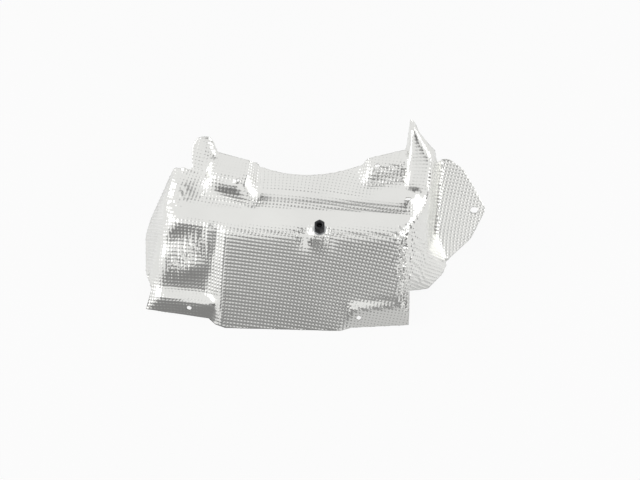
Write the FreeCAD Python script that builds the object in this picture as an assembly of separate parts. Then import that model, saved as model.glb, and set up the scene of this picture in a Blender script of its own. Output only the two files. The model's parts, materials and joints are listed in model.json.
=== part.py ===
"""Fuel tank heat shield: one pressed aluminium sheet with a hex standoff riveted to its top.

The sheet is built the way a press tool makes it.  Each form of the punch is a drafted block with
rounded edges.  The joined blocks give the outer skin, the same blocks drawn in by one sheet
thickness give the inner skin, and one trim outline cuts the rim.  Millimetres; X runs along the
shield, Y from its front apron to its back rim, Z up from the surface that its rims stand on.
"""

import FreeCAD
import Part
import math
import os
from collections import namedtuple

Vector = FreeCAD.Vector
Wall = namedtuple("Wall", "x y draft turn")

# Sheet and its bends
SHEET = 1.0
EDGE_ROUND = 8.0
PAD_ROUND = 5.0
PANEL_ROUND = 4.0
SHOULDER_ROUND = 6.0
LEDGE_ROUND = 3.0

# Heights of the pressed levels above the rims
PLATEAU_Z = 106.0
PANEL_Z = 112.0
SHOULDER_Z = 118.0
PAD_Z = 130.0
HORN_Z = 160.0
LEFT_LEDGE_Z = 24.0
RIGHT_LEDGE_Z = 31.0
SKIRT_Z = 52.0

# Drafts of the walls, in degrees from the vertical
APRON_DRAFT = 38.0
POCKET_DRAFT = 34.0
FLANK_DRAFT = 32.0
LEFT_DRAFT = 20.0
RIGHT_DRAFT = 25.0
RIGHT_BACK_DRAFT = 9.0
SKIRT_DRAFT = 28.0
SKIRT_SIDE_DRAFT = 32.6
FLANGE_DRAFT = 20.0
FLANGE_END_DRAFT = 40.0
PANEL_DRAFT = 60.0
PANEL_SIDE_DRAFT = 40.0
SHOULDER_DRAFT = 50.0
PAD_DRAFT = 25.0
PAD_SIDE_DRAFT = 31.0
HORN_LEFT_DRAFT = 8.0
HORN_RIGHT_DRAFT = 45.0
HORN_FRONT_DRAFT = 55.0
HORN_WALL_DRAFT = 8.0
FINGER_FRONT_DRAFT = 48.0
FINGER_SIDE_DRAFT = 18.0

# How far the trimmed sheet reaches: to the wing's tip on the right, to the flange's foot on the
# left, and to the horn's tip at the back
WING_TIP = (235.5, 178.0)
FLANGE_END_X = -230.0
HORN_TIP = (126.5, 240.0)

# Wing: where its plane starts and how steeply it climbs to the back
WING_FOOT_Y = 118.0
WING_SLOPE = 34.6
WING_ROOT_X = 140.0

# Sloping back edge of the wall between the horn and the wing: its side, and its (y, z) corners
GAP_X = 160.5
GAP_TOP = (204.0, 132.0)
GAP_FOOT = (236.0, 82.0)
GAP_BACK_Z = 93.0

# Finger outline in plan
FINGER_WIDTH = 29.5
FINGER_CENTRE_X = -150.2
FINGER_TIP_Y = 217.0
FINGER_TIP_FLAT = 1.0
FINGER_ROOT_Y = 183.0
FINGER_ROOT_TURN = 4.0

# Holes in the sheet: sizes, and places in plan or along their flange and up it
FLANGE_HOLE = 6.6
LEFT_HOLE_SHARE = 0.53
LEFT_HOLE_Z = 12.0
RIGHT_HOLE_SHARE = 0.2
RIGHT_HOLE_Z = 15.0
PAD_HOLE = 5.0
LEFT_PAD_HOLE_AT = (-102.5, 159.0)
RIGHT_PAD_HOLE_AT = (82.0, 184.0)
WING_SLOT_WIDTH = 7.5
WING_SLOT_LENGTH = 10.5
WING_SLOT_AT = (WING_TIP[0] - 16.5, WING_TIP[1] - 1.5)
DRAIN_SLOT_WIDTH = 4.0
DRAIN_SLOT_LENGTH = 7.5
DRAIN_SLOT_AT = (122.5, 142.0)
PUNCH_REACH = 5.0

# Standoff and its seat
STANDOFF_X = 5.0
STANDOFF_Y = 95.0
STANDOFF_TILT = 12.0
SEAT_Z = 108.5
SEAT_RADIUS = 13.5
SEAT_DRAFT = 24.0
SEAT_DEPTH = 26.0
SEAT_ROUND = 3.0
HEX_FLATS = 13.0
HEX_SIDES = 6
HEX_LENGTH = 14.0
HEX_CHAMFER = 0.8
HEX_CROWN_ANGLE = 30.0
THREAD_BORE = 6.8
THREAD_DEPTH = 11.0
WASHER_DIAMETER = 17.0
WASHER_THICKNESS = 1.6
WASHER_CHAMFER = 0.3
SHANK_DIAMETER = 8.0
SHANK_CLEARANCE = 0.2
RIVET_HEAD_DIAMETER = 12.0
RIVET_HEAD_THICKNESS = 1.4
RIVET_HEAD_CHAMFER = 0.7

# How far a form is rooted in the one below it, the reach of open ends, and a matching tolerance
ROOT = 9.0
PANEL_ROOT = 3.0
FAR = 250.0
BELOW = -6.0
ABOVE = 220.0
NEAR = 1e-4

# Plan corners of each form at its own top level, anticlockwise from above, with the draft of the
# wall that starts there (None for an end that lies in another form or past the trim) and the
# radius of the upright edge at the corner.
MAIN = [
    Wall(-196.0, 112.0, POCKET_DRAFT, 26.0),
    Wall(-127.8, 103.3, FLANK_DRAFT, 10.0),
    Wall(-118.0, 93.5, APRON_DRAFT, 12.0),
    Wall(112.0, 86.6, RIGHT_DRAFT, 18.0),
    Wall(152.0, 155.0, RIGHT_BACK_DRAFT, 40.0),
    Wall(172.0, FAR, None, 0.0),
    Wall(-184.0, FAR, LEFT_DRAFT, 0.0),
    Wall(-200.0, 160.0, LEFT_DRAFT, 60.0),
]
LEFT_FLANGE = [
    Wall(-210.0, 46.0, FLANGE_DRAFT, 5.0),
    Wall(-125.0, 31.3, None, 0.0),
    Wall(-125.0, 95.0, None, 0.0),
    Wall(-200.0, 95.0, None, 0.0),
    Wall(-222.5, 85.0, FLANGE_END_DRAFT, 0.0),
]
RIGHT_FLANGE = [
    Wall(46.0, 22.5, FLANGE_DRAFT, 5.0),
    Wall(120.0, 26.5, RIGHT_DRAFT, 5.0),
    Wall(121.5, 57.0, None, 0.0),
    Wall(100.0, 95.0, None, 0.0),
    Wall(52.0, 95.0, FLANGE_DRAFT, 0.0),
]
SKIRT = [
    Wall(118.0, 50.0, SKIRT_DRAFT, 0.0),
    Wall(147.0, 101.0, SKIRT_SIDE_DRAFT, 14.0),
    Wall(144.6, 160.0, None, 0.0),
    Wall(110.0, 160.0, None, 0.0),
    Wall(100.0, 60.0, None, 0.0),
]
BACK_PANEL = [
    Wall(-150.0, 156.2, PANEL_DRAFT, 0.0),
    Wall(127.0, 133.7, PANEL_SIDE_DRAFT, 22.0),
    Wall(138.0, 160.0, PANEL_SIDE_DRAFT, 40.0),
    Wall(145.0, FAR, None, 0.0),
    Wall(-150.0, FAR, None, 0.0),
]
SHOULDER = [
    Wall(-195.0, 159.0, SHOULDER_DRAFT, 14.0),
    Wall(-130.0, 171.0, None, 0.0),
    Wall(-130.0, FAR, None, 0.0),
    Wall(-179.3, FAR, LEFT_DRAFT, 0.0),
]
LEFT_PAD = [
    Wall(-140.0, 164.0, PAD_DRAFT, 8.0),
    Wall(-90.0, 148.0, PAD_SIDE_DRAFT, 8.0),
    Wall(-81.0, FAR, None, 0.0),
    Wall(-131.0, FAR, PAD_DRAFT, 0.0),
]
RIGHT_PAD = [
    Wall(72.0, 173.0, PAD_DRAFT, 8.0),
    Wall(126.0, 186.0, None, 0.0),
    Wall(126.0, FAR, None, 0.0),
    Wall(64.0, FAR, PAD_SIDE_DRAFT, 0.0),
]
HORN = [
    Wall(126.5, 224.0, HORN_FRONT_DRAFT, 2.0),
    Wall(131.0, 224.0, HORN_RIGHT_DRAFT, 2.0),
    Wall(131.0, FAR, None, 0.0),
    Wall(126.5, FAR, HORN_LEFT_DRAFT, 0.0),
]
FINGER = [
    Wall(-166.5, 228.0, FINGER_FRONT_DRAFT, 5.0),
    Wall(-142.5, 228.0, FINGER_SIDE_DRAFT, 5.0),
    Wall(-142.5, FAR, None, 0.0),
    Wall(-166.5, FAR, FINGER_SIDE_DRAFT, 0.0),
]

# Relief planes that turn the foot of the apron into its side facets: a point and a direction out
LEFT_RELIEF = (Vector(-121.0, 10.7, 0.0), Vector(-0.330, -0.790, 0.514))
RIGHT_RELIEF = (Vector(32.0, 6.0, 0.0), Vector(0.263, -0.789, 0.555))

# Where the outer end of each flange takes over from its relief facet, as a plan corner
LEFT_RELIEF_END = Vector(-205.0, 55.0, 0.0)
RIGHT_RELIEF_END = Vector(116.0, 30.0, 0.0)

# Trim outline in plan: corners with their radii
TRIM = [
    (FLANGE_END_X, -20.0, 0.0), (124.0, -20.0, 0.0), (124.0, 45.0, 2.0), (152.0, 66.0, 24.0),
    (174.0, 96.0, 40.0), (184.0, 121.0, 10.0), (WING_TIP[0] - 21.5, WING_TIP[1] - 34.5, 24.0),
    (*WING_TIP, 9.0), (WING_TIP[0] - 30.5, WING_TIP[1] + 44.5, 30.0), (184.0, 235.0, 12.0),
    (173.5, 234.5, 2.0), (162.5, 206.5, 6.0), (150.0, 213.0, 12.0),
    (137.0, 222.0, 6.0), (134.0, 231.0, 3.0), (*HORN_TIP, 1.0), (120.5, 211.0, 3.0),
    (63.0, 194.0, 8.0), (58.0, 197.0, 4.0), (-14.0, 171.0, 150.0), (-80.0, 198.0, 4.0),
    (-84.0, 191.0, 4.0), (-131.0, 206.5, 3.0),
]
TRIM_SHOULDER = [
    (-187.0, 190.0, 12.0), (-206.0, 188.0, 8.0), (-262.0, 194.0, 0.0), (-262.0, 122.0, 0.0),
    (-237.0, 112.0, 15.0), (-229.5, 86.0, 15.0), (-221.0, 61.0, 5.0), (FLANGE_END_X, 38.0, 5.0),
]


def line_meet(p, d, q, e):
    """Return the plan point where the line through p along d meets the line through q along e."""
    cross = d.x * e.y - d.y * e.x
    along = ((q.x - p.x) * e.y - (q.y - p.y) * e.x) / cross
    return p + d * along


def plan_corners(walls, top, z, inset):
    """Return the corners of a drafted form at height z, with its walls drawn in by inset."""
    lines = []
    for wall, following in zip(walls, walls[1:] + walls[:1]):
        start = Vector(wall.x, wall.y, 0.0)
        run = Vector(following.x, following.y, 0.0) - start
        run.normalize()
        out = Vector(run.y, -run.x, 0.0)
        shift = 0.0
        if wall.draft is not None:
            angle = math.radians(wall.draft)
            shift = (top - z) * math.tan(angle) - inset / math.cos(angle)
        lines.append((start + out * shift, run))
    corners = []
    for before, after in zip(lines[-1:] + lines[:-1], lines):
        corner = line_meet(before[0], before[1], after[0], after[1])
        corners.append(Vector(corner.x, corner.y, z))
    return corners


def solid_between(lower, upper):
    """Return the flat-sided solid between two rings of matching corners."""
    rings = [lower[::-1], upper]
    count = len(lower)
    for i in range(count):
        j = (i + 1) % count
        rings.append([lower[i], lower[j], upper[j], upper[i]])
    shell = Part.makeShell([Part.Face(Part.makePolygon(ring + ring[:1])) for ring in rings])
    shell.sewShape()
    return Part.makeSolid(shell)


def edge_between(shape, a, b):
    """Return the edge of the shape that joins points a and b."""
    for edge in shape.Edges:
        ends = [v.Point for v in edge.Vertexes]
        if len(ends) == 2:
            straight = ends[0].distanceToPoint(a) + ends[1].distanceToPoint(b)
            turned = ends[0].distanceToPoint(b) + ends[1].distanceToPoint(a)
            if min(straight, turned) < NEAR:
                return edge
    raise ValueError("no edge between the two points")


def turn_side(corners, i):
    """Return 1 for an outward corner of an anticlockwise ring and -1 for an inward one."""
    before = corners[i] - corners[i - 1]
    after = corners[(i + 1) % len(corners)] - corners[i]
    return 1.0 if before.x * after.y - before.y * after.x > 0.0 else -1.0


def pressed_block(walls, top, foot, inset, rounding):
    """Return one form of the punch, drawn in by inset, with its upright and top edges rounded."""
    upper = plan_corners(walls, top, top - inset, inset)
    lower = plan_corners(walls, top, foot, inset)
    solid = solid_between(lower, upper)
    for i, wall in enumerate(walls):
        if wall.turn > 0.0:
            radius = wall.turn - inset * turn_side(upper, i)
            solid = solid.makeFillet(radius, [edge_between(solid, lower[i], upper[i])])
    if rounding > 0.0:
        hidden = []
        for i, wall in enumerate(walls):
            if wall.draft is None:
                hidden.append(Part.makeLine(upper[i], upper[(i + 1) % len(walls)]))
        rim = []
        for edge in solid.Edges:
            middle = edge.valueAt((edge.FirstParameter + edge.LastParameter) / 2.0)
            level = all(abs(v.Point.z - (top - inset)) < NEAR for v in edge.Vertexes)
            spot = Part.Vertex(middle)
            if level and all(spot.distToShape(end)[0] > NEAR for end in hidden):
                rim.append(edge)
        solid = solid.makeFillet(rounding - inset, rim)
    return solid


def half_space(point, outward):
    """Return a large block that fills the side of a plane that its direction points to."""
    size = 4.0 * FAR
    block = Part.makeBox(size, size, size, Vector(-size / 2.0, -size / 2.0, 0.0))
    turn = FreeCAD.Rotation(Vector(0.0, 0.0, 1.0), outward)
    block.Placement = FreeCAD.Placement(point, turn)
    return block


def wing_form(base, inset):
    """Return the block under the wing's plane, which climbs to the back."""
    angle = math.radians(WING_SLOPE)
    drop = inset / math.cos(angle)
    start = WING_FOOT_Y + (base + drop) / math.tan(angle)
    top = (FAR - WING_FOOT_Y) * math.tan(angle) - drop
    ring = [Vector(WING_ROOT_X, start, base), Vector(WING_ROOT_X, FAR, base),
            Vector(WING_ROOT_X, FAR, top)]
    return Part.Face(Part.makePolygon(ring + ring[:1])).extrude(Vector(FAR - WING_ROOT_X, 0.0, 0.0))


def wing_gap():
    """Return the tool that slopes the back edge of the wall between the horn and the wing."""
    ring = [Vector(GAP_X, *GAP_TOP), Vector(GAP_X, *GAP_FOOT), Vector(GAP_X, FAR, GAP_BACK_Z),
            Vector(GAP_X, FAR, ABOVE), Vector(GAP_X, GAP_TOP[0], ABOVE)]
    return Part.Face(Part.makePolygon(ring + ring[:1])).extrude(Vector(FAR - GAP_X, 0.0, 0.0))


def main_form(inset):
    """Return the main form with its two relief facets at the foot of the apron."""
    form = pressed_block(MAIN, PLATEAU_Z, 0.0 if inset == 0.0 else BELOW, inset, EDGE_ROUND)
    for relief, end, ledge in ((LEFT_RELIEF, LEFT_RELIEF_END, LEFT_LEDGE_Z),
                               (RIGHT_RELIEF, RIGHT_RELIEF_END, RIGHT_LEDGE_Z)):
        point, outward = relief
        unit = Vector(outward)
        unit.normalize()
        tool = half_space(point - unit * inset, unit)
        top = ledge - 3.0 * SHEET + inset
        keep = half_space(Vector(0.0, 0.0, top), Vector(0.0, 0.0, 1.0))
        corner = Vector(min(end.x, end.x + math.copysign(FAR, end.x)), end.y, BELOW)
        beyond = Part.makeBox(FAR, FAR, ledge - BELOW, corner)
        form = form.cut(tool.cut(keep).cut(beyond))
    return form


def horn_form(inset):
    """Return the horn, held inside the two right-hand walls of the main form."""
    form = pressed_block(HORN, HORN_Z, PLATEAU_Z - ROOT, inset, 0.0)
    for index in (3, 4):
        wall = MAIN[index]._replace(draft=min(HORN_WALL_DRAFT, MAIN[index].draft))
        walls = MAIN[:index] + [wall] + MAIN[index + 1:]
        point, out = wall_point(walls, index, PLATEAU_Z, 0.5, PLATEAU_Z)
        form = form.cut(half_space(point - out * inset, out))
    return form


def standoff_axis():
    """Return the direction of the standoff, leaning to the front."""
    tilt = math.radians(STANDOFF_TILT)
    return Vector(0.0, -math.sin(tilt), math.cos(tilt))


def standoff_seat():
    """Return the middle of the seat on the outer skin."""
    return Vector(STANDOFF_X, STANDOFF_Y, SEAT_Z)


def seat_form(inset):
    """Return the conical seat that lifts the standoff off the front edge of the plateau."""
    angle = math.radians(SEAT_DRAFT)
    top = SEAT_RADIUS + inset * math.tan(angle) - inset / math.cos(angle)
    depth = SEAT_DEPTH - inset
    axis = standoff_axis()
    cone = Part.makeCone(top, top + depth * math.tan(angle), depth,
                         standoff_seat() - axis * inset, axis * -1.0)
    rim = min(cone.Edges, key=lambda e: (e.CenterOfMass - standoff_seat()).Length)
    return cone.makeFillet(SEAT_ROUND - inset, [rim])


def pressed_form(inset):
    """Return every form of the punch joined, drawn in by inset."""
    base = 0.0 if inset == 0.0 else BELOW
    forms = [
        pressed_block(LEFT_FLANGE, LEFT_LEDGE_Z, base, inset, LEDGE_ROUND),
        pressed_block(RIGHT_FLANGE, RIGHT_LEDGE_Z, base, inset, LEDGE_ROUND),
        pressed_block(SKIRT, SKIRT_Z, base, inset, 0.0),
        pressed_block(BACK_PANEL, PANEL_Z, PLATEAU_Z - PANEL_ROOT, inset, PANEL_ROUND),
        pressed_block(SHOULDER, SHOULDER_Z, PLATEAU_Z - ROOT, inset, SHOULDER_ROUND),
        pressed_block(LEFT_PAD, PAD_Z, PLATEAU_Z - ROOT, inset, PAD_ROUND),
        pressed_block(RIGHT_PAD, PAD_Z, PLATEAU_Z - ROOT, inset, PAD_ROUND),
        horn_form(inset),
        seat_form(inset),
        wing_form(base, inset),
        pressed_block(FINGER, HORN_Z, PLATEAU_Z - ROOT, inset, 0.0),
    ]
    return main_form(inset).multiFuse(forms).removeSplitter()


def rounded_outline(corners):
    """Return the closed plan wire through corners, each turned with its own radius."""
    count = len(corners)
    points = [Vector(x, y, BELOW) for x, y, _ in corners]
    ends = []
    for i in range(count):
        here, radius = points[i], corners[i][2]
        back = points[i - 1] - here
        ahead = points[(i + 1) % count] - here
        back.normalize()
        ahead.normalize()
        half = back.getAngle(ahead) / 2.0
        reach = radius / math.tan(half)
        bisector = back + ahead
        bisector.normalize()
        middle = here + bisector * (radius / math.sin(half) - radius)
        ends.append((here + back * reach, middle, here + ahead * reach, radius))
    edges = []
    for i in range(count):
        first, middle, last, radius = ends[i]
        if radius > 0.0:
            edges.append(Part.Arc(first, middle, last).toShape())
        edges.append(Part.makeLine(last, ends[(i + 1) % count][0]))
    return Part.Wire(edges)


def trim_prism():
    """Return the upright prism inside the trim outline."""
    half = FINGER_WIDTH / 2.0
    turn = half - FINGER_TIP_FLAT / 2.0
    finger = [
        (FINGER_CENTRE_X + half, FINGER_TIP_Y, turn),
        (FINGER_CENTRE_X - half, FINGER_TIP_Y, turn),
        (FINGER_CENTRE_X - half, FINGER_ROOT_Y, FINGER_ROOT_TURN),
    ]
    outline = rounded_outline(TRIM + finger + TRIM_SHOULDER)
    return Part.Face(outline).extrude(Vector(0.0, 0.0, ABOVE - BELOW))


def drill(point, direction, diameter):
    """Return a drill through the sheet at a point of its outer skin."""
    unit = Vector(direction)
    unit.normalize()
    return Part.makeCylinder(diameter / 2.0, 2.0 * PUNCH_REACH, point - unit * PUNCH_REACH, unit)


def slot(point, direction, along, width, length):
    """Return an oblong punch through the sheet at a point of its outer skin."""
    unit = Vector(along)
    unit.normalize()
    half = unit * ((length - width) / 2.0)
    ends = [drill(point - half, direction, width), drill(point + half, direction, width)]
    out = Vector(direction)
    out.normalize()
    across = out.cross(unit) * (width / 2.0)
    base = point - out * PUNCH_REACH
    ring = [base - half - across, base + half - across, base + half + across, base - half + across]
    web = Part.Face(Part.makePolygon(ring + ring[:1])).extrude(out * (2.0 * PUNCH_REACH))
    return web.multiFuse(ends)


def wall_point(walls, index, top, share, z):
    """Return a point on a drafted wall and the direction out of the wall there."""
    corners = plan_corners(walls, top, z, 0.0)
    start, end = corners[index], corners[(index + 1) % len(corners)]
    run = end - start
    point = start + run * share
    run.normalize()
    angle = math.radians(walls[index].draft)
    return point, Vector(run.y * math.cos(angle), -run.x * math.cos(angle), math.sin(angle))


def wing_point(x, y):
    """Return a point of the wing and the direction out of it."""
    angle = math.radians(WING_SLOPE)
    return (Vector(x, y, (y - WING_FOOT_Y) * math.tan(angle)),
            Vector(0.0, -math.sin(angle), math.cos(angle)))


def hole_tools():
    """Return the punches for every hole of the sheet."""
    up = Vector(0.0, 0.0, 1.0)
    across = Vector(1.0, 0.0, 0.0)
    left_at, left_out = wall_point(LEFT_FLANGE, 0, LEFT_LEDGE_Z, LEFT_HOLE_SHARE, LEFT_HOLE_Z)
    right_at, right_out = wall_point(RIGHT_FLANGE, 0, RIGHT_LEDGE_Z, RIGHT_HOLE_SHARE, RIGHT_HOLE_Z)
    wing_at, wing_out = wing_point(*WING_SLOT_AT)
    drain_at = Vector(*DRAIN_SLOT_AT, PANEL_Z)
    return [
        drill(left_at, left_out, FLANGE_HOLE),
        drill(right_at, right_out, FLANGE_HOLE),
        drill(Vector(*LEFT_PAD_HOLE_AT, PAD_Z), up, PAD_HOLE),
        drill(Vector(*RIGHT_PAD_HOLE_AT, PAD_Z), up, PAD_HOLE),
        slot(wing_at, wing_out, across, WING_SLOT_WIDTH, WING_SLOT_LENGTH),
        slot(drain_at, up, across, DRAIN_SLOT_WIDTH, DRAIN_SLOT_LENGTH),
        drill(standoff_seat(), standoff_axis(), SHANK_DIAMETER + 2.0 * SHANK_CLEARANCE),
    ]


def make_sheet():
    """Return the pressed, trimmed and punched sheet."""
    skin = pressed_form(0.0).cut(pressed_form(SHEET)).common(trim_prism()).cut(wing_gap())
    sheet = max(skin.Solids, key=lambda s: s.Volume)
    for tool in hole_tools():
        sheet = sheet.cut(tool)
    return max(sheet.Solids, key=lambda s: s.Volume)


def along_standoff(shape):
    """Return a shape made along Z, moved onto the standoff's seat and axis."""
    turn = FreeCAD.Rotation(Vector(1.0, 0.0, 0.0), STANDOFF_TILT)
    shape.Placement = FreeCAD.Placement(standoff_seat(), turn)
    return shape


def make_washer():
    """Return the round washer under the hex."""
    disc = Part.makeCylinder(WASHER_DIAMETER / 2.0, WASHER_THICKNESS)
    disc = disc.makeChamfer(WASHER_CHAMFER, [e for e in disc.Edges if len(e.Vertexes) == 1])
    bore = Part.makeCylinder(SHANK_DIAMETER / 2.0 + SHANK_CLEARANCE, WASHER_THICKNESS)
    return along_standoff(disc.cut(bore).Solids[0])


def make_standoff():
    """Return the hex standoff with its threaded hole, shank and riveted end."""
    step = 2.0 * math.pi / HEX_SIDES
    corner = HEX_FLATS / 2.0 / math.cos(step / 2.0)
    ring = []
    for i in range(HEX_SIDES + 1):
        angle = math.pi / 2.0 + step * i
        ring.append(Vector(corner * math.cos(angle), corner * math.sin(angle), WASHER_THICKNESS))
    body = Part.Face(Part.makePolygon(ring)).extrude(Vector(0.0, 0.0, HEX_LENGTH))
    top = WASHER_THICKNESS + HEX_LENGTH
    cone_height = corner * math.tan(math.radians(HEX_CROWN_ANGLE))
    crown = Part.makeCone(corner + HEX_CHAMFER, 0.0, cone_height + HEX_CHAMFER,
                          Vector(0.0, 0.0, top - HEX_CHAMFER))
    under = Part.makeCylinder(corner + HEX_CHAMFER, HEX_LENGTH - HEX_CHAMFER,
                              Vector(0.0, 0.0, WASHER_THICKNESS))
    body = body.common(under.fuse(crown))
    shank = Part.makeCylinder(SHANK_DIAMETER / 2.0, WASHER_THICKNESS + SHEET,
                              Vector(0.0, 0.0, -SHEET))
    head = Part.makeCylinder(RIVET_HEAD_DIAMETER / 2.0, RIVET_HEAD_THICKNESS,
                             Vector(0.0, 0.0, -SHEET - RIVET_HEAD_THICKNESS))
    rim = [e for e in head.Edges if len(e.Vertexes) == 1 and e.CenterOfMass.z < -SHEET - NEAR]
    head = head.makeChamfer(RIVET_HEAD_CHAMFER, rim)
    bore = Part.makeCylinder(THREAD_BORE / 2.0, THREAD_DEPTH, Vector(0.0, 0.0, top - THREAD_DEPTH))
    standoff = body.multiFuse([shank, head]).cut(bore).removeSplitter()
    return along_standoff(standoff.Solids[0])


def main():
    """Build every node, set the frame at the bottom centre and write the STEP files."""
    nodes = {
        "shield_sheet": make_sheet(),
        "standoff_washer": make_washer(),
        "hex_standoff": make_standoff(),
    }
    box = nodes["shield_sheet"].optimalBoundingBox(False)
    shift = Vector(-box.Center.x, -box.Center.y, -box.ZMin)
    os.makedirs("parts", exist_ok=True)
    for name, shape in nodes.items():
        placed = shape.copy()
        placed.translate(shift)
        placed.exportStep("parts/" + name + ".step")
        print(name, placed.ShapeType, placed.isValid(), round(placed.Volume, 1))
    print("shift", shift)


main()
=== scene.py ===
"""Looks of the fuel tank heat shield: an embossed pressed sheet, a zinc washer, a black standoff.

The sheet's skin is flattened to the blank that it was pressed from, the emboss lattice is laid out
on that blank, and every point is carried back onto the pressed form.  Metres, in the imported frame.
"""

import enum
import json
import logging
import math
from dataclasses import dataclass

import bmesh
import bpy
import numpy as np
from mathutils import Matrix, Vector
from mathutils.bvhtree import BVHTree
from mathutils.geometry import delaunay_2d_cdt
from mathutils.kdtree import KDTree

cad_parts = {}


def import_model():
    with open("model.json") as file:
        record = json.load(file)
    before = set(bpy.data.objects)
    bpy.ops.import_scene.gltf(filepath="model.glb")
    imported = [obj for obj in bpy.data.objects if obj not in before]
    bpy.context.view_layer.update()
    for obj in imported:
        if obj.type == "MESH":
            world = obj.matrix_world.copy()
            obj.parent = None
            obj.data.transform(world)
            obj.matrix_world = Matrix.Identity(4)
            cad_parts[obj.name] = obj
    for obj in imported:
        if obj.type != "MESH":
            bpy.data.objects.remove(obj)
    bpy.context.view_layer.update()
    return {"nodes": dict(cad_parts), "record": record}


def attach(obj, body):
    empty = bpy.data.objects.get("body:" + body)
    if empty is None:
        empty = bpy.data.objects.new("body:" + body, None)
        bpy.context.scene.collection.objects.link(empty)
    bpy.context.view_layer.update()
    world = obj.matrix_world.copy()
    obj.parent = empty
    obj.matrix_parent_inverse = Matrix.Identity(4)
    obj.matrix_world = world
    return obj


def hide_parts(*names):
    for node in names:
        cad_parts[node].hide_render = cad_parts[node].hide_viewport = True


LOG = logging.getLogger("heat_shield")
MM = 0.001
WELD = 1e-7
SHARP_EDGE = math.radians(35.0)
POLE = 1e-6


class Ray(enum.Enum):
    """Kinds of light path that see the white surround."""

    CAMERA = "Is Camera Ray"
    GLOSSY = "Is Glossy Ray"
    TRANSMISSION = "Is Transmission Ray"


def new_object(name: str, mesh: bpy.types.Mesh) -> bpy.types.Object:
    """Link a mesh into the scene as an object at the origin.

    Args:
        name: the object's name.
        mesh: the mesh it shows.

    Returns:
        The new object.
    """
    piece = bpy.data.objects.new(name, mesh)
    bpy.context.scene.collection.objects.link(piece)
    return piece


def ring_mesh(name: str, rings: list[np.ndarray], matrix: Matrix) -> bpy.types.Mesh:
    """Skin a list of closed rings of equal count into one smooth-shaded closed mesh.

    Args:
        name: the mesh's name.
        rings: arrays of points, each ring joined to the next and the last to the first.
        matrix: where the rings' own axis stands in the frame.

    Returns:
        The mesh.
    """
    count = len(rings[0])
    points = np.concatenate(rings)
    faces = []
    for i in range(len(rings)):
        j = (i + 1) % len(rings)
        for k in range(count):
            m = (k + 1) % count
            faces.append((i * count + k, i * count + m, j * count + m, j * count + k))
    mesh = bpy.data.meshes.new(name)
    mesh.from_pydata(points.tolist(), [], faces)
    shape = bmesh.new()
    shape.from_mesh(mesh)
    bmesh.ops.remove_doubles(shape, verts=shape.verts, dist=WELD)
    bmesh.ops.recalc_face_normals(shape, faces=shape.faces)
    shape.transform(matrix)
    for face in shape.faces:
        face.smooth = True
    for edge in shape.edges:
        edge.smooth = edge.calc_face_angle(0.0) < SHARP_EDGE
    shape.to_mesh(mesh)
    shape.free()
    return mesh


@dataclass(frozen=True)
class Finish:
    """A metal finish: tint, gloss and the grain that breaks both up."""

    name: str
    tint: tuple[float, float, float]
    tint_spread: float
    metallic: float
    roughness: float
    roughness_spread: float
    cloud_scale: float
    grain_scale: float
    grain_depth: float
    cloud_detail: float = 5.0
    cloud_band: tuple[float, float] = (0.3, 0.7)
    grain_detail: float = 3.0
    bump_strength: float = 0.6

    def material(self) -> bpy.types.Material:
        """Build the node material.

        Returns:
            The material, on Object coordinates.
        """
        made = bpy.data.materials.new(self.name)
        made.use_nodes = True
        nodes, links = made.node_tree.nodes, made.node_tree.links
        shader = nodes["Principled BSDF"]
        shader.inputs["Metallic"].default_value = self.metallic
        place = nodes.new("ShaderNodeTexCoord")
        cloud = nodes.new("ShaderNodeTexNoise")
        cloud.inputs["Scale"].default_value = self.cloud_scale
        cloud.inputs["Detail"].default_value = self.cloud_detail
        links.new(place.outputs["Object"], cloud.inputs["Vector"])
        tint = nodes.new("ShaderNodeValToRGB")
        for stop, sign, level in zip(tint.color_ramp.elements, (-1.0, 1.0), self.cloud_band):
            stop.color = tuple(c * (1.0 + sign * self.tint_spread) for c in self.tint) + (1.0,)
            stop.position = level
        links.new(cloud.outputs["Fac"], tint.inputs["Fac"])
        links.new(tint.outputs["Color"], shader.inputs["Base Color"])
        gloss = nodes.new("ShaderNodeMapRange")
        gloss.inputs["From Min"].default_value = self.cloud_band[0]
        gloss.inputs["From Max"].default_value = self.cloud_band[1]
        gloss.inputs["To Min"].default_value = self.roughness - self.roughness_spread
        gloss.inputs["To Max"].default_value = self.roughness + self.roughness_spread
        links.new(cloud.outputs["Fac"], gloss.inputs["Value"])
        links.new(gloss.outputs["Result"], shader.inputs["Roughness"])
        grain = nodes.new("ShaderNodeTexNoise")
        grain.inputs["Scale"].default_value = self.grain_scale
        grain.inputs["Detail"].default_value = self.grain_detail
        links.new(place.outputs["Object"], grain.inputs["Vector"])
        bump = nodes.new("ShaderNodeBump")
        bump.inputs["Strength"].default_value = self.bump_strength
        bump.inputs["Distance"].default_value = self.grain_depth
        links.new(grain.outputs["Fac"], bump.inputs["Height"])
        links.new(bump.outputs["Normal"], shader.inputs["Normal"])
        return made


EMBOSSED_ALUMINIUM = Finish(
    name="embossed_aluminium", tint=(0.77, 0.77, 0.748), tint_spread=0.03, metallic=1.0,
    roughness=0.16, roughness_spread=0.03, cloud_scale=14.0, grain_scale=900.0, grain_depth=0.00002)
ZINC_PLATE = Finish(
    name="zinc_plate", tint=(0.46, 0.47, 0.48), tint_spread=0.06, metallic=1.0,
    roughness=0.36, roughness_spread=0.06, cloud_scale=160.0, grain_scale=2500.0, grain_depth=0.00002)
BLACK_OXIDE = Finish(
    name="black_oxide", tint=(0.034, 0.034, 0.037), tint_spread=0.15, metallic=0.5,
    roughness=0.3, roughness_spread=0.06, cloud_scale=220.0, grain_scale=3000.0, grain_depth=0.00003)


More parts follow.
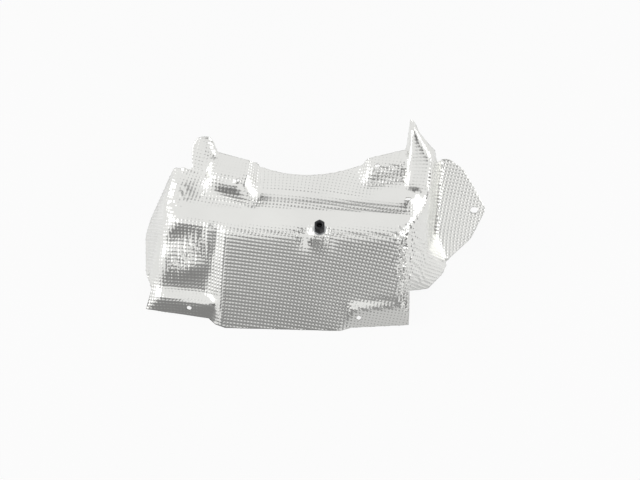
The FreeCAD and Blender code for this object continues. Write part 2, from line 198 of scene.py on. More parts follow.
@dataclass
class Blank:
    """The flat blank of the sheet, and the way from the blank back onto the pressed form."""

    cad: bpy.types.Object
    sheet: float
    weld: float = 2e-6
    least_rise: float = 0.02
    skin_slack: float = 0.25
    fill_passes: int = 4
    hole_round: float = 0.8
    hole_least: float = 10.0 * MM
    plan_grid: float = 4.0 * MM
    grid_gap: float = 0.6
    least_area: float = 2e-9
    rim_step: float = 1.5 * MM
    rim_least: float = 0.9 * MM
    pull_range: tuple[float, float] = (0.02, 20.0)
    apron_spot: tuple[float, float, float] = (0.3, 0.75, 0.45)
    passes: int = 26
    solver_steps: int = 110

    def __post_init__(self) -> None:
        """Read the skin of the solid, mesh it in plan and flatten it."""
        self._read_skin()
        self._mesh_plan()
        self._flatten()
        self._square_up()

    def _read_skin(self) -> None:
        """Find the outer skin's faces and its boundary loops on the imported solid."""
        shape = bmesh.new()
        shape.from_mesh(self.cad.data)
        bmesh.ops.remove_doubles(shape, verts=shape.verts, dist=self.weld)
        shape.normal_update()
        self.solid = BVHTree.FromBMesh(shape)
        up = [f for f in shape.faces if f.normal.z > self.least_rise]
        skin = set()
        for face in up:
            inner = face.calc_center_median() - face.normal * self.sheet
            if self.solid.find_nearest(inner)[3] < self.skin_slack * self.sheet:
                skin.add(face)
        for _ in range(self.fill_passes):
            for face in up:
                near = sum(other in skin for e in face.edges for other in e.link_faces if other != face)
                if near >= 2:
                    skin.add(face)
        bmesh.ops.delete(shape, geom=[f for f in shape.faces if f not in skin], context="FACES")
        shape.verts.index_update()
        self.skin = BVHTree.FromBMesh(shape)
        self.loops = self._boundary_loops(shape)
        shape.free()

    def _boundary_loops(self, shape: bmesh.types.BMesh) -> list[np.ndarray]:
        """Trace the rim and the holes of the skin.

        Args:
            shape: the skin.

        Returns:
            The rim first, then each round or oblong hole, as arrays of points.
        """
        edges = [e for e in shape.edges if e.is_boundary]
        at = {}
        for edge in edges:
            for vert in edge.verts:
                at.setdefault(vert.index, []).append(edge)
        unused = set(edges)
        paths = []
        for edge in edges:
            if edge not in unused:
                continue
            unused.remove(edge)
            path = list(edge.verts)
            onward = [e for e in at[path[-1].index] if e in unused]
            while onward:
                unused.remove(onward[0])
                path.append(onward[0].other_vert(path[-1]))
                onward = [e for e in at[path[-1].index] if e in unused]
            paths.append(np.array([v.co[:] for v in path[:-1]]))
        paths.sort(key=self._length, reverse=True)
        holes = [p for p in paths[1:]
                 if self._roundness(p) > self.hole_round and self._length(p) > self.hole_least]
        return [self._spaced(p) for p in paths[:1] + holes]

    @staticmethod
    def _length(path: np.ndarray) -> float:
        """Return the length round a closed path."""
        return float(np.linalg.norm(np.roll(path, -1, 0) - path, axis=1).sum())

    def _roundness(self, path: np.ndarray) -> float:
        """Return 1 for a circle, less for a longer or flatter loop."""
        arms = path - path.mean(0)
        area = np.linalg.norm(np.cross(arms, np.roll(arms, -1, 0)), axis=1).sum() / 2.0
        return 4.0 * math.pi * area / self._length(path) ** 2

    def _spaced(self, path: np.ndarray) -> np.ndarray:
        """Return the closed path with points neither far apart nor crowded."""
        dense = []
        for a, b in zip(path, np.roll(path, -1, 0)):
            count = max(1, math.ceil(np.linalg.norm(b - a) / self.rim_step))
            dense.extend(a + (b - a) * k / count for k in range(count))
        kept = [dense[0]]
        for point in dense[1:]:
            if np.linalg.norm(point - kept[-1]) > self.rim_least:
                kept.append(point)
        if np.linalg.norm(kept[-1] - kept[0]) < self.rim_least:
            kept.pop()
        return np.array(kept)

    @staticmethod
    def inside(points: np.ndarray, loops: list[np.ndarray]) -> np.ndarray:
        """Return which points lie inside the first loop and outside the others."""
        hit = np.zeros(len(points), bool)
        x, y = points[:, 0], points[:, 1]
        for loop in loops:
            for (x0, y0), (x1, y1) in zip(loop[:, :2], np.roll(loop, -1, 0)[:, :2]):
                if y0 != y1:
                    crossed = (y0 > y) != (y1 > y)
                    hit ^= crossed & (x < (x1 - x0) * (y - y0) / (y1 - y0) + x0)
        return hit

    @staticmethod
    def clear_of(points: np.ndarray, loops: list[np.ndarray], gap: float) -> np.ndarray:
        """Return which points are further than gap from every loop's points."""
        rim = np.concatenate(loops)[:, :2]
        tree = KDTree(len(rim))
        for i, (x, y) in enumerate(rim):
            tree.insert((x, y, 0.0), i)
        tree.balance()
        return np.array([tree.find((x, y, 0.0))[2] > gap for x, y in points])

    def triangulate(self, loops: list[np.ndarray], points: np.ndarray) -> tuple:
        """Triangulate the region inside the loops through the given points.

        Args:
            loops: plan or blank outlines, rim first.
            points: points inside the region.

        Returns:
            The corner positions, the triangles (anticlockwise), and for each point that went in,
            loops first, the corner that stands for it.
        """
        flat = np.concatenate([loop[:, :2] for loop in loops] + [points[:, :2]])
        edges = []
        start = 0
        for loop in loops:
            count = len(loop)
            edges.extend((start + k, start + (k + 1) % count) for k in range(count))
            start += count
        made = delaunay_2d_cdt([Vector(p) for p in flat.tolist()], edges, [], 0, 1e-9)
        corners = np.array([p[:] for p in made[0]])
        triangles = np.array([t for t in made[2] if len(t) == 3])
        stands = np.zeros(len(flat), int)
        for new, olds in enumerate(made[3]):
            stands[olds] = new
        a, b, c = (corners[triangles[:, k]] for k in range(3))
        turn = (b[:, 0] - a[:, 0]) * (c[:, 1] - a[:, 1]) - (b[:, 1] - a[:, 1]) * (c[:, 0] - a[:, 0])
        triangles[turn < 0.0] = triangles[turn < 0.0][:, ::-1]
        middle = corners[triangles].mean(1)
        return corners, triangles[self.inside(middle, loops) & (np.abs(turn) > 1e-12)], stands

    def _mesh_plan(self) -> None:
        """Mesh the skin as seen from above, with heights read from the solid."""
        low, high = self.loops[0].min(0), self.loops[0].max(0)
        xs, ys = (np.arange(low[k], high[k], self.plan_grid) for k in range(2))
        points = np.stack(np.meshgrid(xs, ys), -1).reshape(-1, 2)
        points = points[self.inside(points, self.loops)]
        points = points[self.clear_of(points, self.loops, self.grid_gap * self.plan_grid)]
        corners, triangles, stands = self.triangulate(self.loops, points)
        rim = np.concatenate(self.loops)
        heights = np.zeros(len(corners))
        for i, (x, y) in enumerate(corners):
            hit = self.solid.ray_cast(Vector((x, y, 1.0)), Vector((0.0, 0.0, -1.0)))[0]
            heights[i] = hit.z if hit else 0.0
        heights[stands[:len(rim)]] = rim[:, 2]
        self.form = np.column_stack([corners, heights])
        sides = self.form[triangles]
        area = np.linalg.norm(np.cross(sides[:, 1] - sides[:, 0], sides[:, 2] - sides[:, 0]), axis=1)
        self.triangles = triangles[area > self.least_area]
        self.rims = []
        start = 0
        for loop in self.loops:
            ring = stands[start:start + len(loop)]
            self.rims.append(ring[ring != np.roll(ring, 1)])
            start += len(loop)

    def _flatten(self) -> None:
        """Unroll the skin with as little stretch as it allows, by turns of rotating and joining."""
        tris, count = self.triangles, len(self.form)
        sides = self.form[tris]
        first, second = sides[:, 1] - sides[:, 0], sides[:, 2] - sides[:, 0]
        length = np.linalg.norm(first, axis=1)
        along = first / length[:, None]
        normal = np.cross(first, second)
        normal /= np.linalg.norm(normal, axis=1)[:, None]
        across = np.cross(normal, along)
        local = np.zeros((len(tris), 3, 2))
        local[:, 1, 0] = length
        local[:, 2, 0] = (second * along).sum(1)
        local[:, 2, 1] = (second * across).sum(1)
        weights = np.zeros((len(tris), 3))
        for k in range(3):
            a, b = local[:, (k + 1) % 3] - local[:, k], local[:, (k + 2) % 3] - local[:, k]
            cross = np.abs(a[:, 0] * b[:, 1] - a[:, 1] * b[:, 0])
            weights[:, k] = (a * b).sum(1) / np.maximum(cross, 1e-14)
        weights = np.clip(weights, *self.pull_range).T.ravel()
        head = np.concatenate([tris[:, (k + 1) % 3] for k in range(3)])
        tail = np.concatenate([tris[:, (k + 2) % 3] for k in range(3)])
        wish = np.concatenate([local[:, (k + 1) % 3] - local[:, (k + 2) % 3] for k in range(3)])
        owner = np.tile(np.arange(len(tris)), 3)
        scale = (np.bincount(head, weights, count) + np.bincount(tail, weights, count) + 1e-9)[:, None]

        def gather(pull: np.ndarray) -> np.ndarray:
            """Sum each edge's pull at its two ends."""
            return np.stack([np.bincount(head, pull[:, c], count) - np.bincount(tail, pull[:, c], count)
                             for c in range(2)], 1)

        flat = self.form[:, :2].copy()
        for _ in range(self.passes):
            now = flat[head] - flat[tail]
            cosine = np.bincount(owner, weights * (now * wish).sum(1), len(tris))
            sine = np.bincount(owner, weights * (wish[:, 0] * now[:, 1] - wish[:, 1] * now[:, 0]),
                               len(tris))
            size = np.hypot(cosine, sine)
            c, s = (cosine / size)[owner], (sine / size)[owner]
            turned = np.stack([c * wish[:, 0] - s * wish[:, 1], s * wish[:, 0] + c * wish[:, 1]], 1)
            rest = gather(weights[:, None] * turned) - gather(weights[:, None] * now)
            step = rest / scale
            heading, power = step.copy(), (rest * step).sum(0)
            for _ in range(self.solver_steps):
                push = gather(weights[:, None] * (heading[head] - heading[tail]))
                reach = power / np.maximum((heading * push).sum(0), 1e-30)
                flat = flat + reach * heading
                rest = rest - reach * push
                step = rest / scale
                fresh = (rest * step).sum(0)
                heading = step + (fresh / np.maximum(power, 1e-30)) * heading
                power = fresh
        self.flat = flat

    def _square_up(self) -> None:
        """Turn the blank so that the apron's width lies along X, with its middle at the origin."""
        low, high = self.form.min(0), self.form.max(0)
        tree = KDTree(len(self.form))
        for i, point in enumerate(self.form):
            tree.insert(point, i)
        tree.balance()
        aside, front, level = self.apron_spot
        left, right = (tree.find((aside * x, front * low[1], level * high[2]))[1]
                       for x in (low[0], high[0]))
        run = self.flat[right] - self.flat[left]
        angle = -math.atan2(run[1], run[0])
        c, s = math.cos(angle), math.sin(angle)
        moved = self.flat - (self.flat[left] + self.flat[right]) / 2.0
        self.flat = moved @ np.array([[c, s], [-s, c]])

    def press(self, spots: np.ndarray) -> np.ndarray:
        """Carry points of the blank onto the outer skin of the pressed form.

        Args:
            spots: points of the blank.

        Returns:
            Their places on the form.
        """
        level = np.column_stack([self.flat, np.zeros(len(self.flat))])
        tree = BVHTree.FromPolygons(level.tolist(), self.triangles.tolist())
        pressed = np.zeros((len(spots), 3))
        for i, (x, y) in enumerate(spots):
            _, _, index, _ = tree.find_nearest(Vector((x, y, 0.0)))
            ids = self.triangles[index]
            a, b, c = self.flat[ids]
            cross = (b[0] - a[0]) * (c[1] - a[1]) - (b[1] - a[1]) * (c[0] - a[0])
            v = ((x - a[0]) * (c[1] - a[1]) - (y - a[1]) * (c[0] - a[0])) / cross
            w = ((b[0] - a[0]) * (y - a[1]) - (b[1] - a[1]) * (x - a[0])) / cross
            near = self.form[ids].T @ np.array([1.0 - v - w, v, w])
            pressed[i] = self.skin.find_nearest(Vector(near))[0]
        return pressed


@dataclass
class EmbossTree:
    """Geometry Nodes tree that raises the dimples and the press's waves along the way out."""

    pitch: float = 4.75 * MM
    height: float = 0.95 * MM
    turn: float = math.radians(-8.5)
    wave_height: float = 0.35 * MM
    wave_size: float = 34.0 * MM
    seed: float = 7.0

    def build(self, material: bpy.types.Material) -> bpy.types.NodeTree:
        """Build the tree.

        Args:
            material: the finish set on the result.

        Returns:
            The node group, with its sizes as named inputs.
        """
        tree = bpy.data.node_groups.new("emboss", "GeometryNodeTree")
        face = tree.interface
        face.new_socket("Geometry", in_out="INPUT", socket_type="NodeSocketGeometry")
        self.sockets = {}
        for name, value in (("Pitch", self.pitch), ("Height", self.height), ("Turn", self.turn),
                            ("Wave Height", self.wave_height), ("Wave Size", self.wave_size),
                            ("Seed", self.seed)):
            socket = face.new_socket(name, in_out="INPUT", socket_type="NodeSocketFloat")
            self.sockets[socket.identifier] = value
        face.new_socket("Geometry", in_out="OUTPUT", socket_type="NodeSocketGeometry")
        nodes, links = tree.nodes, tree.links
        given = nodes.new("NodeGroupInput").outputs

        def read(name: str) -> bpy.types.NodeSocket:
            """Return a vector attribute of the sheet."""
            node = nodes.new("GeometryNodeInputNamedAttribute")
            node.data_type = "FLOAT_VECTOR"
            node.inputs["Name"].default_value = name
            return node.outputs["Attribute"]

        def vector(operation: str, first: bpy.types.NodeSocket, second: object) -> bpy.types.Node:
            """Return a vector operation on a socket and a socket or three numbers."""
            node = nodes.new("ShaderNodeVectorMath")
            node.operation = operation
            links.new(first, node.inputs[0])
            if isinstance(second, tuple):
                node.inputs[1].default_value = second
            elif second is not None:
                links.new(second, node.inputs[3 if operation == "SCALE" else 1])
            return node

        def number(operation: str, first: object, second: object) -> bpy.types.NodeSocket:
            """Return a number operation on sockets or plain numbers."""
            node = nodes.new("ShaderNodeMath")
            node.operation = operation
            for slot, value in enumerate((first, second)):
                if isinstance(value, float):
                    node.inputs[slot].default_value = value
                else:
                    links.new(value, node.inputs[slot])
            return node.outputs[0]

        spot = read("blank")
        turned = nodes.new("ShaderNodeVectorRotate")
        turned.rotation_type = "Z_AXIS"
        links.new(spot, turned.inputs["Vector"])
        links.new(number("MULTIPLY", given["Turn"], -1.0), turned.inputs["Angle"])
        cells = vector("SCALE", turned.outputs["Vector"], number("DIVIDE", 1.0, given["Pitch"]))
        moved = vector("ADD", cells.outputs["Vector"], (0.5, 0.5, 0.0))
        part = vector("FRACTION", moved.outputs["Vector"], None)
        centred = vector("SUBTRACT", part.outputs["Vector"], (0.5, 0.5, 0.0))
        radius = vector("LENGTH", centred.outputs["Vector"], None)
        swing = number("MINIMUM", number("MULTIPLY", radius.outputs["Value"], 2.0 * math.pi), math.pi)
        dome = number("MULTIPLY_ADD", number("COSINE", swing, 0.0), 0.5)
        dome.node.inputs[2].default_value = 0.5
        raised = number("MULTIPLY", dome, given["Height"])
        waves = nodes.new("ShaderNodeTexNoise")
        waves.noise_dimensions = "4D"
        waves.inputs["Detail"].default_value = 1.0
        links.new(spot, waves.inputs["Vector"])
        links.new(given["Seed"], waves.inputs["W"])
        links.new(number("DIVIDE", 1.0, given["Wave Size"]), waves.inputs["Scale"])
        swell = number("MULTIPLY", number("SUBTRACT", waves.outputs["Fac"], 0.5), given["Wave Height"])
        lift = vector("SCALE", read("lift"), number("ADD", raised, swell))
        place = nodes.new("GeometryNodeSetPosition")
        links.new(given["Geometry"], place.inputs["Geometry"])
        links.new(lift.outputs["Vector"], place.inputs["Offset"])
        plain = nodes.new("GeometryNodeRealizeInstances")
        links.new(place.outputs["Geometry"], plain.inputs["Geometry"])
        dress = nodes.new("GeometryNodeSetMaterial")
        dress.inputs["Material"].default_value = material
        links.new(plain.outputs["Geometry"], dress.inputs["Geometry"])
        links.new(dress.outputs["Geometry"], nodes.new("NodeGroupOutput").inputs["Geometry"])
        return tree

    def apply(self, piece: bpy.types.Object, material: bpy.types.Material) -> None:
        """Raise the dimples on a sheet and leave it a plain mesh.

        Args:
            piece: the sheet, with its blank and lift attributes.
            material: its finish.
        """
        modifier = piece.modifiers.new("emboss", "NODES")
        modifier.node_group = self.build(material)
        for identifier, value in self.sockets.items():
            modifier[identifier] = value
        graph = bpy.context.evaluated_depsgraph_get()
        made = bpy.data.meshes.new_from_object(piece.evaluated_get(graph), depsgraph=graph)
        piece.modifiers.clear()
        piece.data = made


@dataclass(frozen=True)
class Mark:
    """A soft-edged oval mark in plan, in millimetres: its place, its reach and its strength."""

    centre: tuple[float, float]
    half: tuple[float, float]
    amount: float
    turn: float = 0.0
    plateau: float = 2.0

    def axes(self, points: np.ndarray) -> tuple[np.ndarray, np.ndarray]:
        """Return how far points lie along and across the mark, in millimetres."""
        c, s = math.cos(math.radians(self.turn)), math.sin(math.radians(self.turn))
        x, y = (points[:, k] / MM - self.centre[k] for k in range(2))
        return c * x + s * y, c * y - s * x

    def weight(self, points: np.ndarray) -> np.ndarray:
        """Return 1 at the mark's middle, falling off to 0 outside it."""
        u, v = self.axes(points)
        return np.exp(-((u / self.half[0]) ** 2 + (v / self.half[1]) ** 2) ** self.plateau)


@dataclass(frozen=True)
class Wrinkle(Mark):
    """A patch of fine folds that run across the mark's first axis."""

    step: float = 6.0
    sway: float = 1.2
    sway_step: float = 17.0
    fine_step: float = 0.61
    fine_height: float = 0.5
    fine_sway: float = 2.0
    fine_phase: float = 1.0

    def weight(self, points: np.ndarray) -> np.ndarray:
        """Return the folds, between -1 and 1 at the middle of the patch."""
        u, v = self.axes(points)
        bend = self.sway * np.sin(2.0 * math.pi * v / self.sway_step)
        inner = 2.0 * math.pi * u / (self.fine_step * self.step) + self.fine_sway * bend
        fine = self.fine_height * np.sin(inner + self.fine_phase)
        folds = np.sin(2.0 * math.pi * u / self.step + bend) + fine
        return super().weight(points) * folds / (1.0 + self.fine_height)


@dataclass
class PressMarks:
    """What the press leaves on the sheet: eased bends, dents, folds, weak and strong dimples."""

    ease_passes: int = 110
    # The back panel's crease, both pads' fronts, left shoulder, left wall, below the standoff's foot
    eased: tuple[Mark, ...] = (
        Mark((-9.0, 22.5), (158.0, 15.0), 1.0, -4.6, 4.0),
        Mark((-116.0, 31.0), (40.0, 15.0), 0.3, -14.0),
        Mark((92.0, 48.0), (34.0, 14.0), 0.25, 8.0),
        Mark((-165.0, 28.0), (30.0, 22.0), 0.5),
        Mark((-205.0, -20.0), (26.0, 50.0), 0.5),
        Mark((5.0, -44.0), (20.0, 9.0), 0.6),
    )
    # Left pocket, beside the standoff's foot, left shoulder and finger tab, then the patches of folds
    dents: tuple[Mark, ...] = (
        Mark((-180.0, -26.0), (22.0, 9.0), -5.0, 0.0, 1.0),
        Mark((-167.0, -50.0), (27.0, 8.0), 3.6, 0.0, 1.0),
        Mark((-203.0, -38.0), (12.0, 18.0), 2.5, 0.0, 1.0),
        Mark((-138.0, -29.0), (5.0, 14.0), 2.6, 4.0, 1.0),
        Mark((-12.0, -33.0), (10.0, 10.0), -2.8, 0.0, 1.0),
        Mark((21.0, -37.0), (6.0, 8.0), -1.8, 0.0, 1.0),
        Mark((-170.0, 24.0), (24.0, 9.0), 1.2, 10.0, 1.0),
        Mark((-148.0, 84.0), (9.0, 20.0), 2.2, 0.0, 1.0),
        Wrinkle((-168.0, -40.0), (28.0, 12.0), 1.0, 24.0, step=9.0),
        Wrinkle((118.0, -52.0), (13.0, 36.0), 0.9, -6.0, step=10.0),
        Wrinkle((116.0, -24.0), (16.0, 10.0), 0.9, 40.0, step=10.0),
        Wrinkle((139.0, -30.0), (34.0, 20.0), 0.5, 80.0, step=9.0),
        Wrinkle((-190.0, 20.0), (26.0, 20.0), 0.5, 60.0, step=11.0),
        Wrinkle((-216.0, -2.0), (12.0, 40.0), 0.45, 60.0, step=11.0),
    )
    # Weak along the bends, pads, ledges and the horn; below zero, stronger on the wing and back panel
    dimple_loss: tuple[Mark, ...] = (
        Mark((-9.0, 22.5), (160.0, 10.0), 0.8, -4.6, 4.0),
        Mark((-5.0, -5.0), (170.0, 14.0), 0.85, -1.5, 4.0),
        Mark((105.0, 24.0), (30.0, 14.0), 0.8),
        Mark((-148.0, 82.0), (20.0, 24.0), 0.6),
        Mark((140.0, 70.0), (20.0, 78.0), 0.88),
        Mark((-165.0, -77.0), (58.0, 7.0), 0.7, -8.0),
        Mark((85.0, -94.0), (42.0, 6.0), 0.7, 3.0),
        Mark((-137.0, -96.0), (16.0, 16.0), 0.9),
        Mark((-8.0, -36.0), (14.0, 11.0), 0.7),
        Mark((-203.0, -38.0), (13.0, 20.0), 0.6),
        Mark((-180.0, 22.0), (34.0, 26.0), 0.6),
        Mark((195.0, 60.0), (45.0, 70.0), -0.1, 0.0, 4.0),
        Mark((10.0, 52.0), (95.0, 22.0), -0.35),
    )

    def ease(self, points: np.ndarray) -> np.ndarray:
        """Return how far each point takes part in the extra easing, from 0 to 1."""
        return np.minimum(sum(m.amount * m.weight(points) for m in self.eased), 1.0)

    def depth(self, points: np.ndarray) -> np.ndarray:
        """Return how far the dents and folds move each point along the way out, in metres."""
        return sum(m.amount * m.weight(points) for m in self.dents) * MM

    def share(self, points: np.ndarray) -> np.ndarray:
        """Return the share of the dimples' usual height that stands at each point."""
        left = np.ones(len(points))
        for mark in self.dimple_loss:
            left *= 1.0 - mark.amount * mark.weight(points)
        return left


@dataclass
class ShieldSheet:
    """The pressed sheet: both skins and the cut rim, meshed along the emboss lattice."""

    cad: bpy.types.Object
    sheet: float = 1.0 * MM
    ring_share: float = 0.27
    ring_points: int = 8
    spare: float = 1.5
    rim_gap: float = 0.55 * MM
    smooth_passes: int = 30
    smooth_rate: float = 0.5

    def lattice(self, flat: np.ndarray, emboss: EmbossTree) -> tuple[np.ndarray, np.ndarray]:
        """Lay out the points of every dimple over the blank.

        Args:
            flat: points that the blank reaches.
            emboss: the emboss pattern.

        Returns:
            The points of the blank, and which of them the coarser inner skin keeps.
        """
        reach = np.abs(flat).max() * self.spare
        count = math.ceil(reach / emboss.pitch)
        steps = np.arange(-count, count + 1)
        cells = np.stack(np.meshgrid(steps, steps), -1).reshape(-1, 2).astype(float)
        angles = np.arange(self.ring_points) * 2.0 * math.pi / self.ring_points
        ring = [(self.ring_share * math.cos(a), self.ring_share * math.sin(a)) for a in angles]
        kept = [(0.0, 0.0), (0.5, 0.5), (0.5, 0.0), (0.0, 0.5)]
        spots = np.concatenate([cells + offset for offset in kept + ring]) * emboss.pitch
        inner = np.repeat([True] * len(kept) + [False] * len(ring), len(cells))
        c, s = math.cos(emboss.turn), math.sin(emboss.turn)
        return spots @ np.array([[c, s], [-s, c]]), inner

    def normals(self, points: np.ndarray, triangles: np.ndarray) -> np.ndarray:
        """Return the unit way out of a skin at each point."""
        sides = points[triangles]
        cross = np.cross(sides[:, 1] - sides[:, 0], sides[:, 2] - sides[:, 0])
        total = np.zeros_like(points)
        for k in range(3):
            for c in range(3):
                total[:, c] += np.bincount(triangles[:, k], cross[:, c], len(points))
        return total / np.maximum(np.linalg.norm(total, axis=1), 1e-15)[:, None]

    def soften(self, points: np.ndarray, triangles: np.ndarray, passes: int,
               share: np.ndarray) -> np.ndarray:
        """Ease the sharp corners of the form, moving points only along the way out.

        Args:
            points: the skin's points.
            triangles: the skin.
            passes: how often the points are eased.
            share: how far each point takes part.

        Returns:
            The eased points.
        """
        head = triangles.ravel()
        tail = np.roll(triangles, -1, 1).ravel()
        count = np.maximum(np.bincount(head, minlength=len(points)), 1)[:, None]
        rate = share[:, None] * self.smooth_rate
        eased = points.copy()
        for _ in range(passes):
            pull = np.stack([np.bincount(head, eased[tail, c], len(points)) for c in range(3)], 1)
            out = self.normals(eased, triangles)
            eased = eased + ((pull / count - eased) * out).sum(1)[:, None] * out * rate
        return eased

    def build(self, emboss: EmbossTree, marks: PressMarks) -> bpy.types.Object:
        """Mesh the smooth sheet, with the attributes that the emboss reads.

        Args:
            emboss: the emboss pattern.
            marks: what the press leaves on the sheet.

        Returns:
            The sheet's object.
        """
        blank = Blank(self.cad, self.sheet)
        rims = [blank.flat[ring] for ring in blank.rims]
        spots, inner = self.lattice(blank.flat, emboss)
        keep = blank.inside(spots, rims)
        spots, inner = spots[keep], inner[keep]
        keep = blank.clear_of(spots, rims, self.rim_gap)
        spots, inner = spots[keep], inner[keep]
        edge = np.concatenate(rims)
        form = np.concatenate([blank.form[ring] for ring in blank.rims] + [blank.press(spots)])
        flat = np.concatenate([edge, spots])
        outer_tris = self._skin_triangles(blank, rims, spots, np.arange(len(flat)))
        free = np.ones(len(flat))
        free[:len(edge)] = 0.0
        form = self.soften(form, outer_tris, self.smooth_passes, free)
        form = self.soften(form, outer_tris, marks.ease_passes, free * marks.ease(form))
        form = form + self.normals(form, outer_tris) * (free * marks.depth(form))[:, None]
        out = self.normals(form, outer_tris)
        lift = out * marks.share(form)[:, None]
        chosen = np.concatenate([np.arange(len(edge)), len(edge) + np.nonzero(inner)[0]])
        inner_tris = self._skin_triangles(blank, rims, spots[inner], chosen)
        slot = np.zeros(len(flat), int)
        slot[chosen] = len(flat) + np.arange(len(chosen))
        points = np.concatenate([form, form[chosen] - out[chosen] * self.sheet])
        faces = outer_tris.tolist() + slot[inner_tris][:, ::-1].tolist()
        start = 0
        for ring in rims:
            ids = start + np.arange(len(ring))
            ahead = np.roll(ids, -1)
            faces.extend(np.stack([ahead, ids, slot[ids], slot[ahead]], 1).tolist())
            start += len(ring)
        LOG.info("shield_skin: %d outer, %d inner triangles", len(outer_tris), len(inner_tris))
        return self._object(points, faces, np.concatenate([flat, flat[chosen]]),
                            np.concatenate([lift, lift[chosen]]))

    def _skin_triangles(self, blank: Blank, rims: list[np.ndarray], spots: np.ndarray,
                        names: np.ndarray) -> np.ndarray:
        """Triangulate the blank through points and name the corners as given.

        Args:
            blank: the blank.
            rims: its boundary loops.
            spots: points inside it.
            names: the number that each point, rim first, has in the sheet.

        Returns:
            The triangles.
        """
        corners, triangles, stands = blank.triangulate(rims, spots)
        back = np.full(len(corners), -1)
        back[stands[::-1]] = names[::-1]
        named = back[triangles]
        return named[(named >= 0).all(1)]

    def _object(self, points: np.ndarray, faces: list, flat: np.ndarray,
                lift: np.ndarray) -> bpy.types.Object:
        """Make the mesh with its blank and lift attributes."""
        mesh = bpy.data.meshes.new("shield_skin")
        mesh.from_pydata(points.tolist(), [], faces)
        for name, values in (("blank", np.column_stack([flat, np.zeros(len(flat))])), ("lift", lift)):
            layer = mesh.attributes.new(name, "FLOAT_VECTOR", "POINT")
            layer.data.foreach_set("vector", values.astype(np.float32).ravel())
        mesh.polygons.foreach_set("use_smooth", np.ones(len(mesh.polygons), bool))
        return new_object("shield_skin", mesh)


